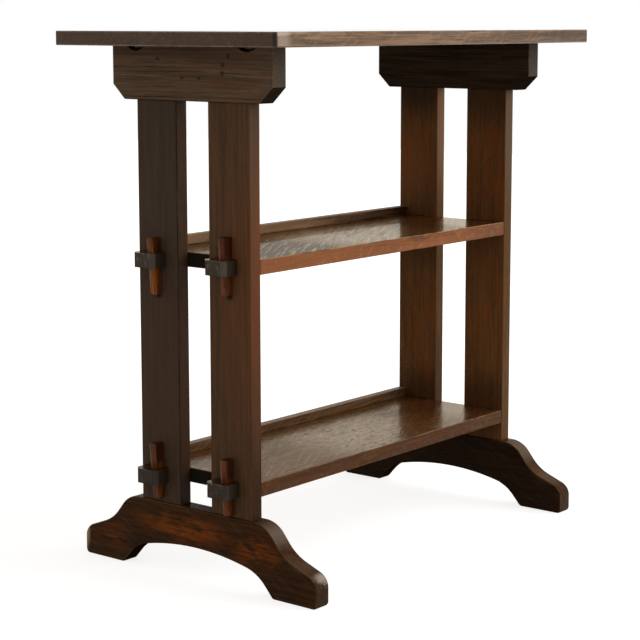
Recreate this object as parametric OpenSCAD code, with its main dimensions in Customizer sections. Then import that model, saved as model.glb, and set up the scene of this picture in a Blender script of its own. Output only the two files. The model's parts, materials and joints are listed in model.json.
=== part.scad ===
// Oak book stand with a plain top, two shelves and two end frames.
// Each end frame is a bearer, two posts and a scrolled foot. The shelves pass
// through the posts on long tenons, and a tapered key through each tenon
// draws the joint tight. Origin: centre of the footprint, on the floor.
// X runs along the shelves, the front is towards -Y, and Z is up.

/* [Top] */
// Length of the top board, left to right
top_len = 660; // [620:5:800]
// Depth of the top board, front to back
top_depth = 354; // [300:1:420]
// Thickness of the top board
top_t = 17.5; // [15:0.5:25]
// Height of the top surface above the floor
stand_h = 667; // [600:1:800]
// Width of the eased arrises round the top board
top_ease = 1.5; // [0.5:0.1:3]
// Radius of the top board's four corners
top_corner_r = 3; // [2:0.5:12]

/* [End frames] */
// Distance from an end of the top to the middle plane of the end frame below it
end_overhang = 61; // [50:0.5:110]
// Length of a bearer, front to back
bearer_len = 257; // [225:1:320]
// Height of a bearer
bearer_h = 65; // [50:1:90]
// Thickness of a bearer
bearer_t = 23.5; // [20:0.5:32]
// Length of the slanting cut under each end of a bearer
bearer_cut_len = 20; // [8:1:34]
// Height of the slanting cut under each end of a bearer
bearer_cut_h = 19; // [8:1:34]
// Width of a post
post_w = 65; // [54:0.1:76]
// Thickness of a post
post_t = 18.6; // [15:0.1:22]
// Gap between the two posts of an end frame
post_gap = 50.8; // [30:0.1:54]
// Width of the eased arrises on posts, bearers and shelves
ease = 0.8; // [0.4:0.1:2]

/* [Feet] */
// Length of a foot, front to back
foot_len = 382; // [366:1:440]
// Height of a foot where the posts enter it
foot_h = 89; // [85:1:110]
// Thickness of a foot
foot_t = 23.6; // [20:0.1:32]
// Distance past the posts at which the foot's shoulder starts to fall
shoulder_run = 5.9; // [2:0.1:12]
// Radius of the round shoulder
shoulder_r = 35; // [30:1:45]
// Steepest slope of the scroll, in degrees
scroll_slope = 51; // [40:1:55]
// Length of the straight stretch between shoulder and hollow
scroll_flat = 12.5; // [8:0.5:20]
// Radius of the hollow that runs out to the toe
hollow_r = 61; // [35:1:70]
// Slope of the top of the toe, in degrees
toe_slope = 21; // [14:1:26]
// Radius of the rounded top of the toe
toe_r = 18; // [4:1:20]
// Radius of the rounded lower corner of the toe
toe_under_r = 6; // [2:1:10]
// Half of the arch's span at the floor
arch_half = 124; // [112:0.5:130]
// Height of the arch at its crown
arch_h = 40; // [34:1:44]
// Radius of the long crown of the arch
crown_r = 375; // [320:5:600]
// Radius of the arch's corners
corner_r = 55; // [35:1:60]
// Slope of the arch's two ends, in degrees
arch_slope = 48; // [38:1:55]
// Radius where the arch meets the flat pad
pad_r = 6; // [2:1:10]

/* [Shelves] */
// Thickness of a shelf
shelf_t = 18.2; // [14:0.1:22]
// Height of the upper shelf's surface above the floor
upper_shelf_h = 401; // [330:1:470]
// Gap between the tops of the feet and the underside of the lower shelf
foot_clear = 25.8; // [25.5:0.1:80]
// Distance of the shelf's edges behind the faces of the posts
shelf_inset = 0.4; // [0:0.1:8]
// Thickness of the strip along the back of a shelf
rail_t = 12; // [9:0.5:20]
// Height of the strip along the back of a shelf
rail_h = 12; // [9:0.1:30]

/* [Keyed tenons] */
// Width of a through-tenon
tenon_w = 35; // [24:0.5:38]
// Length of a tenon beyond the outer face of its post
tenon_out = 23.5; // [21:0.1:30]
// Size of the cut on each upright corner of a tenon's end
tenon_cut = 5.8; // [1:0.1:7]
// Distance that the tenons lie behind the middle of their posts
tenon_shift = 5.5; // [-6:0.5:6]
// Distance that the keys stand in front of the middle of their tenons
key_forward = 5; // [-6:0.5:6]
// Thickness of a key, front to back
key_t = 10.5; // [7:0.1:13]
// Length of a key
key_len = 70; // [64:1:90]
// Width of a key at its head
key_head_w = 14.6; // [11:0.1:16]
// Width of a key at its tip
key_tip_w = 8; // [6:0.1:10]
// Distance that each upper key reaches below its shelf: left rear, left front, right rear, right front
upper_key_drop = [34, 25, 29, 32]; // [15:0.5:36]
// Distance that each lower key reaches below its shelf: left rear, left front, right rear, right front
lower_key_drop = [20, 23.5, 22, 21]; // [15:0.5:25]
// Distance that a key's mortise runs back inside the post, so that the key bears on the post
key_draw = 1.5; // [0.6:0.1:3]
// Clearance between a key and the wood round it
key_gap = 0.3; // [0.2:0.05:0.6]

/* [Hidden joints] */
// Width of the stub tenon on each end of a post
stub_w = 44; // [30:1:48]
// Thickness of the stub tenon
stub_t = 9.5; // [6:0.1:12]
// Length of the stub tenon in the bearer
head_stub_len = 32; // [20:1:40]
// Length of the stub tenon in the foot
foot_stub_len = 30; // [20:1:34]
// Space left past the end of a stub tenon
stub_space = 1.5; // [0.5:0.5:4]
// Clearance round a glued or screwed joint
joint_gap = 0.1; // [0.05:0.05:0.3]

/* [Fasteners] */
// Distance of a top fastener from the middle of its bearer
fastener_y = 89; // [60:1:95]
// Diameter of a fastener's two round ends
fastener_d = 19; // [16:0.5:22]
// Thickness of a fastener
fastener_t = 2.4; // [2:0.1:3]
// Distance between a fastener's two screws
fastener_pitch = 21; // [20:0.5:26]
// Width of a fastener's waist
fastener_waist = 11; // [8:0.5:14]
// Distance of a fastener's outer screw inside the bearer's outer face
fastener_in = 10.5; // [9:0.5:13]
// Length of the crescent cut that clears a fastener on the bearer's outer face
scoop_len = 27; // [20:1:34]
// Height of that crescent
scoop_h = 4.5; // [3:0.5:8]
// Shank diameter of the screws
screw_d = 3.6; // [3:0.1:4.5]
// Head diameter of the screws
screw_head_d = 7.2; // [6:0.1:8.5]
// Length of a fastener's screw
fastener_screw_len = 14; // [10:0.5:14.5]
// Length of a strip's screw inside the strip
rail_screw_grip = 7.5; // [5:0.5:8]
// Number of screws in each strip
rail_screw_count = 4; // [2:1:6]

/* [Hidden] */
$fn = 48;

// One overlap that makes every cut run clean through its face
cut = 1;
arc_steps = 16;

frame_x = top_len / 2 - end_overhang;
top_under = stand_h - top_t;
bearer_under = top_under - bearer_h;
post_y = (post_gap + post_w) / 2;
shoulder_y = post_gap / 2 + post_w + shoulder_run;
lower_shelf_h = foot_h + foot_clear + shelf_t;
post_face = frame_x - post_t / 2;
post_outer = frame_x + post_t / 2;
shelf_len = 2 * frame_x - post_t;
shelf_depth = post_gap + 2 * (post_w - shelf_inset);
tenon_len = post_t + tenon_out;
rail_y = (shelf_depth - rail_t) / 2;
rail_len = shelf_len - 2 * joint_gap;
key_taper = (key_head_w - key_tip_w) / key_len;
bearer_outer = frame_x + bearer_t / 2;
fastener_x = bearer_outer - fastener_in;
scoop_r = (pow(scoop_len / 2, 2) + pow(scoop_h, 2)) / (2 * scoop_h);
screw_head_h = (screw_head_d - screw_d) / 2;
screw_slot_w = 0.9;
rail_screw_pitch = rail_len / rail_screw_count;
rail_screw_len = shelf_t + rail_screw_grip;

LEFT = -1;
RIGHT = 1;
FRONT = -1;
REAR = 1;

// Colours of the finishes
TOP_OAK = "#4a3526";
FRAME_OAK = "#3a281c";
SHELF_OAK = "#5a3a26";
KEY_OAK = "#6e3a1a";
IRON = "#3b3836";

// Points of a round stretch: centre, radius, first and last angle
function arc(c, r, a0, a1) =
    [for (i = [0:arc_steps]) let (a = a0 + (a1 - a0) * i / arc_steps) c + r * [cos(a), sin(a)]];

// Unit vectors along and square to a slope that falls away from the middle
function down(slope) = [cos(slope), -sin(slope)];
function out(slope) = [sin(slope), cos(slope)];

// Scroll of the foot, from the shoulder to the end of the toe
function scroll_points() =
    let (shoulder_c = [shoulder_y, foot_h - shoulder_r],
         flat_end = shoulder_c + shoulder_r * out(scroll_slope) + scroll_flat * down(scroll_slope),
         hollow_c = flat_end + hollow_r * out(scroll_slope),
         run = hollow_c - hollow_r * out(toe_slope),
         toe_y = foot_len / 2 - toe_r,
         toe_run = toe_y + toe_r * sin(toe_slope) - run.x,
         toe_c = [toe_y, run.y - toe_run * tan(toe_slope) - toe_r * cos(toe_slope)])
    concat(arc(shoulder_c, shoulder_r, 90, 90 - scroll_slope),
           arc(hollow_c, hollow_r, 270 - scroll_slope, 270 - toe_slope),
           arc(toe_c, toe_r, 90 - toe_slope, 0));

// Underside of the foot, from the toe's lower corner over the flat pad to the crown of the arch
function arch_points() =
    let (crown_c = [0, arch_h - crown_r],
         start = [arch_half, 0] - corner_r * out(arch_slope) - crown_c,
         climb = -down(arch_slope),
         s = sqrt(pow(start * climb, 2) - start * start + pow(crown_r - corner_r, 2)) - start * climb,
         corner_c = crown_c + start + s * climb,
         lean = atan2(corner_c.y - crown_c.y, corner_c.x - crown_c.x),
         pad_c = [arch_half + pad_r * tan(arch_slope / 2), pad_r])
    concat(arc([foot_len / 2 - toe_under_r, toe_under_r], toe_under_r, 0, -90),
           arc(pad_c, pad_r, 270, 270 - arch_slope),
           arc(corner_c, corner_r, 90 - arch_slope, lean),
           arc(crown_c, crown_r, lean, 90));

// Rectangle with its four corners cut off
module eased_rect(w, h, e) {
    x = w / 2;
    y = h / 2;
    polygon([[e - x, -y], [x - e, -y], [x, e - y], [x, y - e],
             [x - e, y], [e - x, y], [-x, y - e], [-x, e - y]]);
}

// Rectangle with its four corners rounded
module round_rect(w, h, r) {
    x = w / 2 - r;
    y = h / 2 - r;
    polygon(concat(arc([x, y], r, 0, 90), arc([-x, y], r, 90, 180),
                   arc([-x, -y], r, 180, 270), arc([x, -y], r, 270, 360)));
}

// Lays a drawing of the end elevation, width along Y and height along Z, out along X
module along_x(t) {
    rotate([90, 0, 90]) linear_extrude(t, center = true) children();
}

// Lays a drawing of the front elevation, width along X and height along Z, out along Y
module along_y(t) {
    rotate([90, 0, 0]) linear_extrude(t, center = true) children();
}

// Board centred on the origin with all its arrises eased
module eased_board(size, e) {
    intersection() {
        linear_extrude(size.z, center = true) eased_rect(size.x, size.y, e);
        along_y(size.y) eased_rect(size.x, size.z, e);
        along_x(size.x) eased_rect(size.y, size.z, e);
    }
}

// Places a piece at one end frame, with +X turned outwards
module at_end(side) {
    if (side == LEFT) mirror([1, 0, 0]) children();
    else children();
}

// Puts a piece at each of a bearer's two fasteners
module at_fasteners() {
    for (place = [FRONT, REAR]) translate([fastener_x, place * fastener_y, top_under]) children();
}

// Puts a piece at each screw of a strip, on the strip's middle line
module at_rail_screws(shelf_h) {
    for (i = [0:rail_screw_count - 1])
        translate([(i + 0.5) * rail_screw_pitch - rail_len / 2, rail_y, shelf_h - shelf_t]) children();
}

// Space for a countersunk screw that enters a face upwards, its head flush with z = 0
module screw_hole(len, gap) {
    cylinder(h = len + gap, d = screw_d + 2 * gap);
    translate([0, 0, -cut]) cylinder(h = cut, d = screw_head_d + 2 * gap);
    cylinder(h = screw_head_h, d1 = screw_head_d + 2 * gap, d2 = screw_d + 2 * gap);
}

// Countersunk wood screw with a slotted head, pointing up
module screw(len) {
    difference() {
        union() {
            cylinder(h = len - screw_d / 2, d = screw_d);
            translate([0, 0, len - screw_d / 2]) cylinder(h = screw_d / 2, d1 = screw_d, d2 = screw_slot_w);
            cylinder(h = screw_head_h, d1 = screw_head_d, d2 = screw_d);
        }
        translate([-screw_head_d / 2 - cut, -screw_slot_w / 2, -cut])
            cube([screw_head_d + 2 * cut, screw_slot_w, cut + screw_slot_w]);
    }
}

// Outline of a figure-eight fastener, its outer screw at the origin
module fastener_outline(gap) {
    for (x = [0, -fastener_pitch]) translate([x, 0]) circle(d = fastener_d + 2 * gap);
    translate([-fastener_pitch, -fastener_waist / 2 - gap]) square([fastener_pitch, fastener_waist + 2 * gap]);
}

// Figure-eight fastener, its upper face at z = 0
module fastener() {
    difference() {
        translate([0, 0, -fastener_t]) linear_extrude(fastener_t) fastener_outline(0);
        mirror([0, 0, 1]) screw_hole(fastener_screw_len, joint_gap);
        translate([-fastener_pitch, 0, -fastener_t]) screw_hole(fastener_screw_len, joint_gap);
    }
}

// Seat of a fastener in the top edge of a bearer, with the crescent that clears it
module fastener_seat() {
    translate([0, 0, -fastener_t - joint_gap]) linear_extrude(fastener_t + joint_gap + cut)
        fastener_outline(2 * joint_gap);
    mirror([0, 0, 1]) cylinder(h = fastener_screw_len + 2 * joint_gap, d = screw_d + 2 * joint_gap);
    lift = scoop_r - scoop_h;
    translate([fastener_in, 0, lift]) rotate([0, 90 - atan(scoop_h / fastener_in), 0])
        cylinder(h = 4 * fastener_in, r = scoop_r, center = true);
}

// Top: one board with screw holes for the fasteners underneath
module top_board() {
    color(TOP_OAK) difference() {
        translate([0, 0, stand_h - top_t / 2]) intersection() {
            eased_board([top_len, top_depth, top_t], top_ease);
            linear_extrude(top_t, center = true) round_rect(top_len, top_depth, top_corner_r);
        }
        for (side = [LEFT, RIGHT]) at_end(side) at_fasteners()
            translate([-fastener_pitch, 0, -fastener_t])
                cylinder(h = fastener_screw_len + 2 * joint_gap, d = screw_d + 2 * joint_gap);
    }
}

// Bearer under the top, mortised for two posts
module bearer(side) {
    y = bearer_len / 2;
    low = bearer_cut_h;
    color(FRAME_OAK) difference() {
        translate([side * frame_x, 0, bearer_under]) intersection() {
            along_x(bearer_t) polygon([
                [bearer_cut_len - y, 0], [y - bearer_cut_len, 0], [y, low],
                [y, bearer_h], [-y, bearer_h], [-y, low]]);
            translate([0, 0, bearer_h / 2]) linear_extrude(bearer_h + cut, center = true)
                eased_rect(bearer_t, bearer_len, ease);
            translate([0, 0, bearer_h / 2]) along_y(bearer_len) eased_rect(bearer_t, bearer_h, ease);
        }
        for (place = [FRONT, REAR])
            translate([side * frame_x, place * post_y, bearer_under]) stub_mortise(head_stub_len);
        at_end(side) at_fasteners() fastener_seat();
    }
}
module left_bearer() { bearer(LEFT); }
module right_bearer() { bearer(RIGHT); }

// Mortise that rises from z = 0 for a stub tenon of this length
module stub_mortise(len) {
    w = stub_w + 2 * joint_gap;
    t = stub_t + 2 * joint_gap;
    translate([-t / 2, -w / 2, -cut]) cube([t, w, len + stub_space + cut]);
}

// Post with a stub tenon at each end and a through-mortise for each shelf
module post(side, place) {
    h = bearer_under - foot_h;
    stubs = h + head_stub_len + foot_stub_len;
    hole_w = tenon_w + 2 * joint_gap;
    hole_h = shelf_t + 2 * joint_gap;
    color(FRAME_OAK) difference() {
        translate([side * frame_x, place * post_y, foot_h]) {
            translate([0, 0, h / 2]) intersection() {
                linear_extrude(h, center = true) eased_rect(post_t, post_w, ease);
                cube([post_t, post_w, h], center = true);
            }
            translate([0, 0, stubs / 2 - foot_stub_len]) eased_board([stub_t, stub_w, stubs], ease);
        }
        for (shelf_h = [upper_shelf_h, lower_shelf_h])
            translate([side * frame_x, place * post_y + tenon_shift, shelf_h - shelf_t / 2])
                cube([post_t + 2 * cut, hole_w, hole_h], center = true);
    }
}
module left_rear_post() { post(LEFT, REAR); }
module left_front_post() { post(LEFT, FRONT); }
module right_rear_post() { post(RIGHT, REAR); }
module right_front_post() { post(RIGHT, FRONT); }

// Scrolled foot with an arched underside and two mortises for the posts
module foot(side) {
    half = concat(scroll_points(), arch_points());
    color(FRAME_OAK) difference() {
        translate([side * frame_x, 0, 0]) along_x(foot_t)
            polygon(concat(half, [for (i = [len(half) - 1:-1:0]) [-half[i].x, half[i].y]]));
        for (place = [FRONT, REAR])
            translate([side * frame_x, place * post_y, foot_h]) mirror([0, 0, 1]) stub_mortise(foot_stub_len);
    }
}
module left_foot() { foot(LEFT); }
module right_foot() { foot(RIGHT); }

// Width of a key at a height above its tip
function key_w(z) = key_tip_w + key_taper * z;

// The one of a shelf's four keys that stands at this corner
function drop_at(side, place, drops) = drops[(side == LEFT ? 0 : 2) + (place == REAR ? 0 : 1)];

// Places a key or its mortise at one tenon, the tip of the key at z = 0
module at_key(side, place, shelf_h, drop) {
    y = place * post_y + tenon_shift - key_forward;
    at_end(side) translate([post_outer + key_gap, y, shelf_h - shelf_t - drop]) children();
}

// Tapered key: upright against the post, sloping on its outer face
module key(side, place, shelf_h, drops) {
    color(KEY_OAK) at_key(side, place, shelf_h, drop_at(side, place, drops)) intersection() {
        along_y(key_t) polygon([
            [ease, 0], [key_tip_w - ease, 0], [key_w(ease), ease],
            [key_w(key_len - ease), key_len - ease], [key_head_w - ease, key_len],
            [ease, key_len], [0, key_len - ease], [0, ease]]);
        translate([0, 0, key_len / 2]) along_x(3 * key_head_w) eased_rect(key_t, key_len, ease);
    }
}

// Mortise for a key, cut right through the tenon with the key's own slope
module key_mortise(side, place, shelf_h, drops) {
    drop = drop_at(side, place, drops);
    low = drop - cut;
    high = drop + shelf_t + cut;
    back = -key_gap - key_draw;
    at_key(side, place, shelf_h, drop) along_y(key_t + 2 * key_gap)
        polygon([[back, low], [key_w(low) + key_gap, low], [key_w(high) + key_gap, high], [back, high]]);
}

// Shelf with two long tenons at each end, each cut for its key
module shelf(shelf_h, drops) {
    color(SHELF_OAK) difference() {
        translate([0, 0, shelf_h - shelf_t / 2]) {
            eased_board([shelf_len, shelf_depth, shelf_t], ease);
            for (place = [FRONT, REAR]) translate([0, place * post_y + tenon_shift, 0]) intersection() {
                linear_extrude(shelf_t, center = true) eased_rect(shelf_len + 2 * tenon_len, tenon_w, tenon_cut);
                along_y(tenon_w) eased_rect(shelf_len + 2 * tenon_len, shelf_t, ease);
            }
        }
        for (side = [LEFT, RIGHT], place = [FRONT, REAR]) key_mortise(side, place, shelf_h, drops);
        at_rail_screws(shelf_h) screw_hole(shelf_t + cut, joint_gap);
    }
}
module upper_shelf() { shelf(upper_shelf_h, upper_key_drop); }
module lower_shelf() { shelf(lower_shelf_h, lower_key_drop); }

// Strip along the back of a shelf that stops the books
module rail(shelf_h) {
    color(SHELF_OAK) difference() {
        translate([0, rail_y, shelf_h + rail_h / 2]) eased_board([rail_len, rail_t, rail_h], ease);
        at_rail_screws(shelf_h) cylinder(h = rail_screw_len + joint_gap, d = screw_d + 2 * joint_gap);
    }
}
module upper_rail() { rail(upper_shelf_h); }
module lower_rail() { rail(lower_shelf_h); }

module upper_left_rear_key() { key(LEFT, REAR, upper_shelf_h, upper_key_drop); }
module upper_left_front_key() { key(LEFT, FRONT, upper_shelf_h, upper_key_drop); }
module lower_left_rear_key() { key(LEFT, REAR, lower_shelf_h, lower_key_drop); }
module lower_left_front_key() { key(LEFT, FRONT, lower_shelf_h, lower_key_drop); }
module upper_right_rear_key() { key(RIGHT, REAR, upper_shelf_h, upper_key_drop); }
module upper_right_front_key() { key(RIGHT, FRONT, upper_shelf_h, upper_key_drop); }
module lower_right_rear_key() { key(RIGHT, REAR, lower_shelf_h, lower_key_drop); }
module lower_right_front_key() { key(RIGHT, FRONT, lower_shelf_h, lower_key_drop); }

// Four figure-eight fasteners that hold the top to the bearers
module top_fasteners() {
    color(IRON) for (side = [LEFT, RIGHT]) at_end(side) at_fasteners() fastener();
}

// Two screws in each fastener: one down into the bearer, one up into the top
module fastener_screws() {
    color(IRON) for (side = [LEFT, RIGHT]) at_end(side) at_fasteners() {
        mirror([0, 0, 1]) screw(fastener_screw_len);
        translate([-fastener_pitch, 0, -fastener_t]) screw(fastener_screw_len);
    }
}

// Screws that hold each strip from under its shelf
module rail_screws() {
    color(IRON) for (shelf_h = [upper_shelf_h, lower_shelf_h]) at_rail_screws(shelf_h) screw(rail_screw_len);
}

top_board();
left_bearer();
right_bearer();
left_rear_post();
left_front_post();
right_rear_post();
right_front_post();
left_foot();
right_foot();
upper_shelf();
lower_shelf();
upper_rail();
lower_rail();
upper_left_rear_key();
upper_left_front_key();
lower_left_rear_key();
lower_left_front_key();
upper_right_rear_key();
upper_right_front_key();
lower_right_rear_key();
lower_right_front_key();
top_fasteners();
fastener_screws();
rail_screws();
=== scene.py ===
# %% [markdown]
# # A dark oak book stand
#
# The real stand is a plain top on two trestle ends, with two open shelves between them. Each shelf runs through the
# posts on long tenons, and a tapered key through every tenon pulls the joint tight.
#
# The construction already exists as solids at their real size. This script gives them their looks: softened arrises,
# oak with its grain running the right way on every board, worn edges, a waxed sheen, and a plain studio round it.
# First it loads the solids as a fixed frame.

# %% The frame
import json
import math

import bmesh
import bpy
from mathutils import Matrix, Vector

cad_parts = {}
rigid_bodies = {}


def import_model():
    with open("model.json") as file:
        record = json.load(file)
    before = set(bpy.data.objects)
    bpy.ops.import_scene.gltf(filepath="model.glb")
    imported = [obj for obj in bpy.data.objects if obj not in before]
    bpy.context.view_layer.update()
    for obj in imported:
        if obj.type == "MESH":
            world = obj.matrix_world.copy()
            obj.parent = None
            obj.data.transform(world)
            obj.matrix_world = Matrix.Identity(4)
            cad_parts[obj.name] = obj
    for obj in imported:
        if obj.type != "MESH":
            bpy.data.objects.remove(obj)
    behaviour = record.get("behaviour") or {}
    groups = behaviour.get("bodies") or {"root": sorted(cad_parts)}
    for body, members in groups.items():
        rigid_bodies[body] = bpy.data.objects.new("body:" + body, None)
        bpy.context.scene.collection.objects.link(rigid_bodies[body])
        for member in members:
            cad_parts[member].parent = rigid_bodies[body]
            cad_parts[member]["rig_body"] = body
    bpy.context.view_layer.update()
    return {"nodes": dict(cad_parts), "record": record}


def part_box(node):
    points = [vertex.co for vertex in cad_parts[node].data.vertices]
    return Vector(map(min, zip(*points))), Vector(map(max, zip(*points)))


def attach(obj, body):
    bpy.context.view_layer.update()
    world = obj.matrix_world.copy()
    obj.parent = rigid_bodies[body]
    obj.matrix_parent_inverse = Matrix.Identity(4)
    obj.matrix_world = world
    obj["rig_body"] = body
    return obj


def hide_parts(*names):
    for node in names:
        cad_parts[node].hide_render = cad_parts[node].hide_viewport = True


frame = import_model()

# %% [markdown]
# ## The camera
#
# The view is from the left front, a little above the top's own height, so the top shows only its edges. A long lens
# keeps the posts nearly parallel. The picture is square, and the object sits a little high and left of the lens's
# axis, which the two small shifts give back.

# %% Camera
CAMERA_PLACE = Vector((-1.8642, -1.4779, 0.6786))
CAMERA_TURN = math.radians(51.465)
CAMERA_DIP = math.radians(8.05)
LENS_MM = 102.44
SENSOR_MM = 36
SHIFT_X = -0.0214
SHIFT_Y = -0.0648


def make_camera():
    camera = bpy.data.objects.new("camera", bpy.data.cameras.new("camera"))
    camera.data.lens = LENS_MM
    camera.data.sensor_width = SENSOR_MM
    camera.data.shift_x = SHIFT_X
    camera.data.shift_y = SHIFT_Y
    camera.location = CAMERA_PLACE
    camera.rotation_euler = (math.pi / 2 - CAMERA_DIP, 0, -CAMERA_TURN)
    bpy.context.scene.collection.objects.link(camera)
    bpy.context.scene.camera = camera
    return camera


print("camera at", tuple(make_camera().location))

# %% [markdown]
# ## Small helpers for node trees
#
# Materials and Geometry Nodes trees are both nodes with wires between them. One helper makes a node and fills its
# inputs, with a value or with a wire. Others do the arithmetic and the random clouds. Colours are written in
# hexadecimal, as on a paint card, and turned into the linear values that light works with.

# %% Node helpers
def node(tree, kind, inputs=None, **settings):
    """Makes a node. Inputs are given by name or by number, each as a value or as the socket to wire in."""
    made = tree.nodes.new(kind)
    for name, value in settings.items():
        setattr(made, name, value)
    for name, value in (inputs or {}).items():
        if isinstance(value, bpy.types.NodeSocket):
            tree.links.new(value, made.inputs[name])
        else:
            made.inputs[name].default_value = value
    return made


def calc(tree, operation, *values, clamp=False):
    """One arithmetic step on numbers."""
    return node(tree, "ShaderNodeMath", dict(enumerate(values)), operation=operation, use_clamp=clamp).outputs[0]


def times(tree, first, second, clamp=False):
    return calc(tree, "MULTIPLY", first, second, clamp=clamp)


def minus(tree, first, second, clamp=False):
    return calc(tree, "SUBTRACT", first, second, clamp=clamp)


def scaled(tree, value, factor, start):
    """The value times a factor, on top of a start."""
    return calc(tree, "MULTIPLY_ADD", value, factor, start)


def vector(tree, operation, *values, out=0):
    """One arithmetic step on vectors."""
    return node(tree, "ShaderNodeVectorMath", dict(enumerate(values)), operation=operation).outputs[out]


def between(tree, value, low, high, to_low=0.0, to_high=1.0):
    """0 below low, 1 above high, and a smooth rise between them."""
    given = {"Value": value, "From Min": low, "From Max": high, "To Min": to_low, "To Max": to_high}
    return node(tree, "ShaderNodeMapRange", given, interpolation_type="SMOOTHSTEP").outputs["Result"]


def mix(tree, factor, first, second):
    """Lays the second colour over the first."""
    return node(tree, "ShaderNodeMix", {0: factor, 6: first, 7: second}, data_type="RGBA").outputs[2]


def noise(tree, place, scale, detail=2.0, rough=0.5, out=0):
    """Soft random cloud, stretched by a different scale along each axis, in clouds per metre."""
    stretched = vector(tree, "MULTIPLY", place, scale)
    given = {"Vector": stretched, "Scale": 1.0, "Detail": detail, "Roughness": rough}
    return node(tree, "ShaderNodeTexNoise", given).outputs[out]


def drift(tree, place, scale, detail=2.0):
    """A random push along each axis, up to half a unit either way."""
    return vector(tree, "SUBTRACT", noise(tree, place, scale, detail, out=1), (0.5, 0.5, 0.5))


def xyz(tree, x=0.0, y=0.0, z=0.0):
    return node(tree, "ShaderNodeCombineXYZ", {0: x, 1: y, 2: z}).outputs[0]


def new_material(name):
    """A material and its node tree, still empty."""
    made = bpy.data.materials.new(name)
    made.use_nodes = True
    made.node_tree.nodes.clear()
    return made, made.node_tree


def add_sockets(tree, way, kinds):
    """Gives a tree the named inputs or outputs, each with its kind."""
    for name, kind in kinds.items():
        tree.interface.new_socket(name, in_out=way, socket_type="NodeSocket" + kind)


def show(thing):
    """Puts an object into the scene."""
    bpy.context.scene.collection.objects.link(thing)
    return thing


def colour(code):
    """Linear colour with full alpha from a code such as #603a22."""
    parts = [int(code[i:i + 2], 16) / 255 for i in (1, 3, 5)]
    return (*[p / 12.92 if p <= 0.04045 else ((p + 0.055) / 1.055) ** 2.4 for p in parts], 1.0)


# %% [markdown]
# ## Oak
#
# Oak is a solid pattern, so it is made as one: a board is a block cut out of a log, and every face shows what the
# cut meets there. The group works in the board's own directions, X along the grain, with the heart of the log on the
# line Y = Z = 0. Rings are distances from that line. Where a board lies beside the heart, the rings stand upright in
# it and its broad faces are quartered. Where it lies above the heart, they arch into flame figures. Rays run out
# from the heart as thin sheets, so a quartered face cuts them lengthways and shows them as pale flecks.
#
# An image of wood would be quicker, but it would stretch round the arrises and repeat from board to board.

# %% The oak pattern
HEART_DISTANCE = 0.14
WANDER_SCALE = (1.6, 9.0, 9.0)
RIPPLE_SCALE = (9.0, 55.0, 55.0)
CLOUD_SCALE = (5.0, 16.0, 16.0)
STREAK_SCALE = (8.0, 150.0, 150.0)
LINE_SCALE = (12.0, 380.0, 380.0)
FINE_SCALE = (14.0, 620.0, 620.0)
BREAK_SCALE = (17.0, 240.0, 240.0)
PORE_SCALE = (95.0, 1500.0, 1500.0)
RAY_SCALE = (110.0, 14.0, 150.0)
RAY_SLANT = -1.7
WANDER_DEPTH = 0.016
RIPPLE_DEPTH = 0.003
EARLY_SHARE = 0.36
PORE_BLACK = (0.004, 0.002, 0.001, 1.0)


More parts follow.
